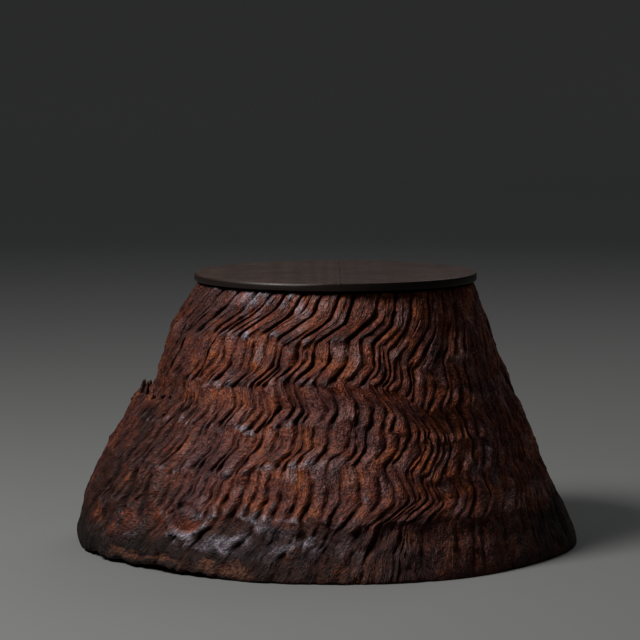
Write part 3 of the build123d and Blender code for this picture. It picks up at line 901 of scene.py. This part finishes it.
def oiled_boards(name, light, dark, shift):
    """Zelkova board, planed, oiled and darkened by smoke and hands: long grain along the seam,
    growth lines 4 mm apart that open into cathedrals, pores as dark scratches 1.1 by 22 mm, and
    a satin worn by cloths. shift moves the tree's middle, so each board is its own plank."""
    material, tree, shader, place = finish(name)
    rim = add(tree, "Attribute", attribute_name="rim").outputs["Fac"]
    log = add(tree, "Mapping", Vector=place, Location=shift, Scale=(1, 0.07, 1))
    wave = {"Scale": 78, "Distortion": 6, "Detail": 3, "Detail_Scale": 0.2}
    growth = add(tree, "TexWave", Vector=log, wave_type="RINGS", rings_direction="Y", **wave)
    pore_at = add(tree, "Mapping", Vector=place, Scale=(900, 45, 900))
    pores = add(tree, "TexNoise", Vector=pore_at, Scale=1, Detail=4, Roughness=0.65)
    stain = add(tree, "TexNoise", Vector=place, Scale=15, Detail=8, Roughness=0.75)

    wood = add(tree, "Mix", growth.outputs["Fac"], dark, light, **COLOURS)
    pored = add(tree, "ValToRGB", pores, stops=((0.38, "#85766d"), (0.56, "#ffffff")))
    veined = add(tree, "Mix", 0.8, wood, pored, **MULTIPLY)
    stained = add(tree, "ValToRGB", stain, stops=((0.42, 0.0), (0.66, 0.7)))
    base = add(tree, "Mix", stained, veined, "#1c1310", **COLOURS)
    handled = add(tree, "ValToRGB", rim, stops=((0.4, 0.0), (0.95, 0.8)))
    edged = add(tree, "Mix", handled, base, "#130d0b", **COLOURS)
    satin = add(tree, "MapRange", stain, 0.35, 0.7, 0.5, 0.68)
    gloss = add(tree, "MapRange", rim, 0, 0.5, 0, -0.12)
    rough = add(tree, "Math", satin, gloss, operation="ADD")
    relief = add(tree, "Bump", Strength=0.4, Distance=0.0005, Height=pores)
    feed(shader, Base_Color=edged, Roughness=rough, Specular_IOR_Level=0.35, Normal=relief)
    return material


def toned_copper():
    """Sheet copper, hand-raised and toned by fire: brown oxide with redder rubbed places in
    patches 60 mm wide, and planishing marks about 9 mm wide."""
    material, tree, shader, place = finish("fire_toned_sheet_copper")
    tone = add(tree, "TexNoise", Vector=place, Scale=16, Detail=5, Roughness=0.6)
    marks = add(tree, "TexVoronoi", Vector=place, Scale=110, feature="SMOOTH_F1")
    stops = (0.36, "#4a2a20"), (0.52, "#8a4f38"), (0.7, "#b8734f")
    colour = add(tree, "ValToRGB", tone, stops=stops)
    rough = add(tree, "MapRange", tone, 0.35, 0.7, 0.5, 0.3)
    relief = add(tree, "Bump", Strength=0.25, Distance=0.001, Height=marks)
    feed(shader, Base_Color=colour, Metallic=1, Roughness=rough, Normal=relief)
    return material


def blackened_iron():
    """Forged iron, blackened in oil: a dull skin of scale 1.1 mm across with rubbed grey high
    spots."""
    material, tree, shader, place = finish("oil_blackened_forged_iron")
    scale = add(tree, "TexNoise", Vector=place, Scale=900, Detail=4)
    colour = add(tree, "ValToRGB", scale, stops=((0.4, "#17130f"), (0.7, "#3b332c")))
    relief = add(tree, "Bump", Strength=0.4, Distance=0.0003, Height=scale)
    feed(shader, Base_Color=colour, Metallic=0.7, Roughness=0.55, Normal=relief)
    return material


# ---------------------------------------------------------------- camera, light and floor

CAMERA_PLACE = (-0.0124, -4.099, 0.727)
CAMERA_TILT = 5.697  # degrees below the level
CAMERA_LENS = 163.1
LAMPS_AIM = (0, 0, 0.2)

camera = bpy.data.objects.new("camera", bpy.data.cameras.new("camera"))
bpy.context.collection.objects.link(camera)
camera.location = CAMERA_PLACE
camera.rotation_euler = (np.radians(90 - CAMERA_TILT), 0, 0)
camera.data.lens = CAMERA_LENS
bpy.context.scene.camera = camera


def softbox(name, place, size, power):
    """A rectangular white lamp at a place, turned towards the stump's middle."""
    lamp = bpy.data.lights.new(name, "AREA")
    lamp.shape = "RECTANGLE"
    lamp.size, lamp.size_y = size
    lamp.energy = power
    held = bpy.data.objects.new(name, lamp)
    bpy.context.collection.objects.link(held)
    held.location = place
    aim = Vector(LAMPS_AIM) - Vector(place)
    held.rotation_euler = aim.to_track_quat("-Z", "Y").to_euler()


softbox("key", (-2.0, -1.3, 2.6), (1.1, 1.1), 113)
softbox("back_fill", (1.8, 2.4, 3.4), (2.4, 1.6), 22)
world = bpy.data.worlds.new("studio")
bpy.context.scene.world = world
world.use_nodes = True
feed(world.node_tree.nodes["Background"], Color="#c9ced2", Strength=0.23)


def studio_floor():
    """A round floor that curves up into a wall all round, in metres from the middle."""
    material = bpy.data.materials.new("matt_pale_floor")
    material.use_nodes = True
    feed(material.node_tree.nodes["Principled BSDF"], Base_Color="#747472", Roughness=0.9)
    radius = np.array([0.01, 3, 6, 7, 7.7, 8, 8])[:, None]
    rise = np.array([0, 0, 0, 0.12, 0.6, 1.4, 4.5])[:, None]
    angle = np.radians(np.arange(96) * 3.75)
    rows = np.stack(np.broadcast_arrays(radius * np.cos(angle), radius * np.sin(angle), rise), -1)
    index = np.arange(rows[..., 0].size).reshape(len(radius), -1)
    faces = [*ring_faces(index).tolist(), index[0].tolist()]
    mesh = bpy.data.meshes.new("studio_floor")
    mesh.from_pydata(rows.reshape(-1, 3), [], faces)
    mesh.materials.append(material)
    mesh.shade_smooth()
    made = bpy.data.objects.new("studio_floor", mesh)
    bpy.context.collection.objects.link(made)


studio_floor()


# ---------------------------------------------------------------- stump

root, sawn = weathered_root(), sawn_end_grain()
skin, turns, looks = trunk_skin()

# Rows of the bore from its floor's middle out to the sawn top, as radius and height
bore_section = [
    (70, BORE_FLOOR),
    *corner((BORE_RADIUS - BORE_FILLET, BORE_FLOOR + BORE_FILLET), BORE_FILLET, -90, 0, 4),
    (BORE_RADIUS, 260),
    (BORE_RADIUS, TRUNK_TOP - MOUTH_CHAMFER),
    (BORE_RADIUS + MOUTH_CHAMFER, TRUNK_TOP),
    (176, TRUNK_TOP),
    (184, TRUNK_TOP),
]
bore_rows = [polar(radius, turns[0], height) for radius, height in bore_section]
middle = np.array((AXIS_X, AXIS_Y, 0))
rim = skin[0] * (1, 1, 0) + (0, 0, TRUNK_TOP)
rim = middle + (rim - middle) * (0.996, 0.996, 1)
# Rows under the foot: share of the way in to the middle, and what is left of the edge's height
under = []
for inwards, left in ((0.015, 0.86), (0.05, 0.42), (0.085, 0.1), (0.16, 0), (0.5, 0), (0.9, 0)):
    row = skin[-1] + (middle - skin[-1]) * inwards
    row[:, 2] = skin[-1][:, 2] * left
    under.append(row)
rows = np.array([*bore_rows, rim, *skin, *under])
inside, around = len(bore_rows) + 1, rows.shape[1]

# Rows outside the skin take the looks of its first or last row, and the poles their means
point_looks = {}
for look, values in looks.items():
    first, last = values[:1].repeat(inside, 0), values[-1:].repeat(len(under), 0)
    spread = np.concatenate([first, values, last]).reshape(-1, *values.shape[2:])
    point_looks[look] = np.concatenate([spread, values[[0, -1]].mean(1)])
# The first finish is the skin's, and the second the sawn faces' and the bore's
band_zone = np.ones(len(rows) - 1)
band_zone[inside - 1 : inside + len(skin) - 1] = 0
zones = np.concatenate([band_zone.repeat(around), np.ones(2 * around)])
stump = [shell(rows)]
piece("trunk_stump", stump, "trunk", ["trunk"], [root, sawn], None, zones, point_looks)


def splinter(angle, radius, foot_height, tip_height, width, lean):
    """A torn shard of wood: a ring that narrows to the tip by a power of 0.6 of the way left,
    flattened across the grain, notched all along, and leaning by lean."""
    share = np.linspace(0, 1, 12)[:, None]
    around = np.arange(16) * 2 * np.pi / 16
    notched = 1 + 0.25 * np.sin(3 * around + angle) + 0.12 * np.sin(7 * around + 9 * share)
    girth = width * (1 - 0.95 * share) ** 0.6 * notched
    out = radius + lean * share + 0.75 * girth * np.cos(around)
    side = np.degrees(girth * np.sin(around) / radius)
    rise = foot_height + (tip_height - foot_height) * share + 0 * around
    return shell(polar(out, angle + side, rise)[::-1])


# Each shard: angle, radius, heights of its foot and tip, half-width, lean, and how far it is
# darkened
SPLINTERS = (
    (187.5, 280, 198, 237, 8.0, -7.0, 0.9),
    (183.0, 274, 200, 236, 5.2, -4.0, 0.9),
    (178.5, 271, 203, 230, 7.0, -4.0, 0.8),
    (174.0, 269, 203, 229, 7.0, -3.0, 0.8),
    (192.6, 277, 198, 235, 8.5, -7.0, 0.9),
    (197.8, 274, 198, 232, 8.6, -5.5, 0.2),
    (203.0, 270, 198, 234, 8.2, -5.0, 0.6),
    (208.2, 266, 200, 231, 8.4, -3.0, 0.3),
    (169.0, 267, 200, 228, 7.0, -3.0, 0.8),
    (163.5, 265, 200, 226, 6.5, -3.0, 0.8),
    (158.0, 262, 202, 224, 6.0, -2.0, 0.8),
)
spikes = [splinter(*shape) for *shape, _ in SPLINTERS]
spike_points = np.concatenate([points for points, _, _ in spikes])
spike_darkness = np.repeat([each[-1] for each in SPLINTERS], len(spikes[0][0]))
spike_looks = {"grain": spike_points * MM, "soot_and_shade": spike_darkness}
piece("trunk_splinters", spikes, "trunk", ["trunk"], [root], looks=spike_looks)


# ---------------------------------------------------------------- liner

COLLAR_INSIDE, COLLAR_OUTSIDE = 160.7, 161.9  # radii of the flange's collar
COLLAR_BOTTOM = LID_BOTTOM - 16
HEM = 1.1  # radius of the flange's rolled edge
HEM_WIDTH = 9
RIVET_RADIUS, RIVET_RISE, SHANK_RADIUS = 3.4, 1.3, 1.5


def lap(radius, height, angle):
    """The wall's outer side stands one sheet further out along the lapped seam at the back."""
    outside = radius > LINER_RADIUS + SHEET / 2
    seam = np.abs(turn_from(BACK, angle)) < 2.5
    return radius + SHEET * (outside & seam & (height < TRUNK_TOP + 0.3))


def rivet(height):
    """A rivet through the lapped seam at the back: two domed heads on a shank, turned round
    the line that runs outwards at that height."""
    inner = np.sqrt(LINER_RADIUS**2 - RIVET_RADIUS**2)
    outer = LINER_RADIUS + 2 * SHEET
    dome = np.radians(np.linspace(8, 90, 6))
    section = [(RIVET_RADIUS * np.sin(a), inner - RIVET_RISE * np.cos(a)) for a in dome]
    section += [(SHANK_RADIUS, inner), (SHANK_RADIUS, outer)]
    section += [(RIVET_RADIUS * np.sin(a), outer + RIVET_RISE * np.cos(a)) for a in dome[::-1]]
    x, z, y = turned_bar(section, 20)
    return shell(np.stack([AXIS_X + x, AXIS_Y + y, height + z], -1))


# Sections as radius and height
wall_top = TRUNK_TOP + 1.1
wall = [(LINER_RADIUS, z) for z in (LINER_FLOOR, 230, 300, wall_top)]
for z in (wall_top, TRUNK_TOP + 0.4, TRUNK_TOP, 300, 230, LINER_FLOOR):
    wall.append((LINER_RADIUS + SHEET, z))
floor = [(radius, LINER_FLOOR + SHEET) for radius in (60, 110, 161.5)]
floor.append((161.9, LINER_FLOOR + 0.8))
floor += [(radius, LINER_FLOOR) for radius in (161.9, 110, 60)]
flange = [
    (COLLAR_INSIDE, COLLAR_BOTTOM),
    (COLLAR_INSIDE, LID_BOTTOM - 8),
    *corner((COLLAR_INSIDE + SHEET, LID_BOTTOM - SHEET), SHEET, 180, 90),
    (172, LID_BOTTOM),
    *corner((FLANGE_RADIUS - HEM, LID_BOTTOM - HEM), HEM, 90, 0),
    *corner((FLANGE_RADIUS - HEM, TRUNK_TOP + HEM), HEM, 0, -90),
    (FLANGE_RADIUS - HEM_WIDTH, TRUNK_TOP),
    (FLANGE_RADIUS - HEM_WIDTH, TRUNK_TOP + SHEET),
    (COLLAR_OUTSIDE, TRUNK_TOP + SHEET),
    (COLLAR_OUTSIDE, COLLAR_BOTTOM),
]
rivets = [rivet(z) for z in np.linspace(LINER_FLOOR + 26, TRUNK_TOP - 26, 6)]
copper = toned_copper()
for name, node, shells, sharp in (
    ("liner_wall_sheet", "liner_wall", [turned(wall, 288, poles=False, bulge=lap)], 35),
    ("liner_floor_sheet", "liner_floor", [turned(floor, 180)], 35),
    ("liner_flange_ring", "liner_flange", [turned(flange, 288, poles=False)], 35),
    ("liner_seam_rivets", "liner_rivets", rivets, 50),
):
    piece(name, shells, "liner", [node], [copper], sharp=sharp)


# ---------------------------------------------------------------- lid

ARC_POINTS, SEAM_POINTS = 240, 80  # points of a board's outline along its arc and its seam
TOP_RINGS, UPPER_RINGS, LOWER_RINGS, UNDER_RINGS = 12, 7, 6, 3
BATTEN_HALF, BATTEN_ROUND = 15.0, 2.9  # half a batten's width, and the radius of its lower edges
NAIL_RADIUS = 1.3


def board(side, arris, wear):
    """Half of the round lid: rings drawn in from a D-shaped outline, a rounded upper arris, the
    edge, and a lower arris. The top dips by wear in slow waves and by the seam."""
    seam = SEAM_X + side * 0.08
    half = np.degrees(np.arccos(seam / LID_RADIUS))
    first, last = (-half, half) if side > 0 else (half, 360 - half)
    arc = np.radians(np.linspace(first, last, ARC_POINTS + 1)[:-1])
    ends = np.sin(np.radians([last, first]))
    along = np.linspace(*ends, SEAM_POINTS + 1)[:-1]
    x = np.concatenate([LID_RADIUS * np.cos(arc), np.full(SEAM_POINTS, seam)])
    y = np.concatenate([LID_RADIUS * np.sin(arc), LID_RADIUS * along])
    edge = np.stack([x, y], -1)
    run = np.roll(edge, -1, 0) - np.roll(edge, 1, 0)
    out = np.stack([run[:, 1], -run[:, 0]], -1) / np.linalg.norm(run, axis=1, keepdims=True)
    by_seam = np.concatenate([np.zeros(ARC_POINTS), np.ones(SEAM_POINTS)])[:, None]
    centre = edge.mean(0)
    around = np.degrees(arc)
    near = swell(turn_from(BACK, around), 9) + swell(turn_from(FRONT, around), 9)
    upper = np.concatenate([arris + (2.4 - arris) * near, np.full(SEAM_POINTS, 0.3)])[:, None]
    lower = 2.0 * (1 - by_seam) + 0.4 * by_seam

    def ring(inset, height, share=1.0):
        """The outline drawn in by an inset, then towards its middle to a share."""
        x, y = (centre + (edge - out * inset - centre) * share).T
        dip = wear * (0.5 + 0.25 * np.sin(x / 31 + side) + 0.25 * np.sin(y / 47 + 2 * side))
        tall = height - np.where(height > LID_BOTTOM + 3, 0.1 + dip, 0)
        return np.stack([x + AXIS_X, y + AXIS_Y, tall + 0 * x], -1)

    rows = [ring(upper, LID_TOP, share) for share in np.linspace(0.08, 0.985, TOP_RINGS)]
    rounding = np.radians(np.linspace(0, 90, UPPER_RINGS))
    for turn in rounding:
        rows.append(ring(upper * (1 - np.sin(turn)), LID_TOP - (upper * (1 - np.cos(turn)))[:, 0]))
    for turn in np.radians(np.linspace(0, 90, LOWER_RINGS)):
        rise = (lower * (1 - np.sin(turn)))[:, 0]
        rows.append(ring(lower * (1 - np.cos(turn)), LID_BOTTOM + rise))
    rows += [ring(lower, LID_BOTTOM, share) for share in (0.9, 0.5, 0.1)]
    # Dark where hands hold it: the edge all round, and the seam's front end
    rim = [np.zeros(TOP_RINGS), np.sin(rounding) ** 2, np.ones(LOWER_RINGS + UNDER_RINGS)]
    rim = np.concatenate(rim)[:, None]
    beside = np.concatenate([0.9 * swell(turn_from(FRONT, around), 1.6), np.ones(SEAM_POINTS)])
    rim = np.maximum(rim, beside * (rim > 0))
    return shell(rows), {"rim": np.concatenate([rim.ravel(), [0, 1]])}


def batten(side):
    """A bar under the boards: a rounded section with chamfered lower edges, its ends cut to
    the liner's round mouth and their last rows pulled in a little."""
    half, top, low = BATTEN_HALF, LID_BOTTOM, BATTEN_BOTTOM + BATTEN_ROUND
    section = [
        (-half, top),
        (-half, top - 6),
        *corner((-half + BATTEN_ROUND, low), BATTEN_ROUND, 180, 270),
        (-half / 2, BATTEN_BOTTOM),
        (half / 2, BATTEN_BOTTOM),
        *corner((half - BATTEN_ROUND, low), BATTEN_ROUND, 270, 360),
        (half, top - 6),
        (half, top),
        (half / 2, top),
        (-half / 2, top),
    ]
    across, z = np.array(section)[::-1].T
    y = AXIS_Y + side * BATTEN_Y + across
    reach = np.sqrt(BATTEN_REACH**2 - (y - AXIS_Y) ** 2)
    mid_y, mid_z = y.mean(), (top + BATTEN_BOTTOM) / 2
    rows = []
    for share in (-1, -0.995, -0.6, 0, 0.6, 0.995, 1):
        pull = 1 if abs(share) < 1 else 0.96
        at_y, at_z = (y - mid_y) * pull + mid_y, (z - mid_z) * pull + mid_z
        rows.append(np.stack([AXIS_X + reach * share, at_y, at_z], -1))
    return shell(rows)


def nail(x, y):
    """A forged nail: a low domed head, a shank and a long point, turned round its own line."""
    section = [(0.9, LID_TOP), (1.8, LID_TOP - 0.08), (2.45, LID_TOP - 0.3), (2.6, LID_TOP - 0.55)]
    section += [(NAIL_RADIUS, LID_TOP - 1.6), (NAIL_RADIUS, 367), (0.3, 363.2)]
    off_x, off_y, z = turned_bar(section, 18)
    return shell(np.stack([AXIS_X + x + off_x, AXIS_Y + y + off_y, z], -1))


left_wood = oiled_boards("oiled_zelkova_left_board", "#493831", "#413129", (0.11, 0, 0.03))
right_wood = oiled_boards("oiled_zelkova_right_board", "#45342e", "#3f2f27", (-0.13, 0, 0.05))
for name, side, arris, wear, wood in (
    ("left", -1, 5.4, 0.3, left_wood),
    ("right", 1, 1.8, 0.25, right_wood),
):
    half, looks = board(side, arris, wear)
    node = f"lid_board_{name}"
    piece(f"lid_{name}_board", [half], "lid", [node], [wood], sharp=50, looks=looks)

batten_wood = oiled_boards("oiled_zelkova_battens", "#3f2f27", "#30231d", (0.02, 0, 0.2))
for name, side in (("front", -1), ("back", 1)):
    bar, node = batten(side), f"lid_batten_{name}"
    piece(f"lid_{name}_bar", [bar], "lid", [node], [batten_wood], sharp=40)

nail_x = np.sqrt((BATTEN_REACH - 8) ** 2 - BATTEN_Y**2)
nails = [nail(x, y) for x in (-nail_x, nail_x) for y in (-BATTEN_Y, BATTEN_Y)]
piece("lid_clench_nails", nails, "lid", ["lid_nails"], [blackened_iron()], sharp=50)
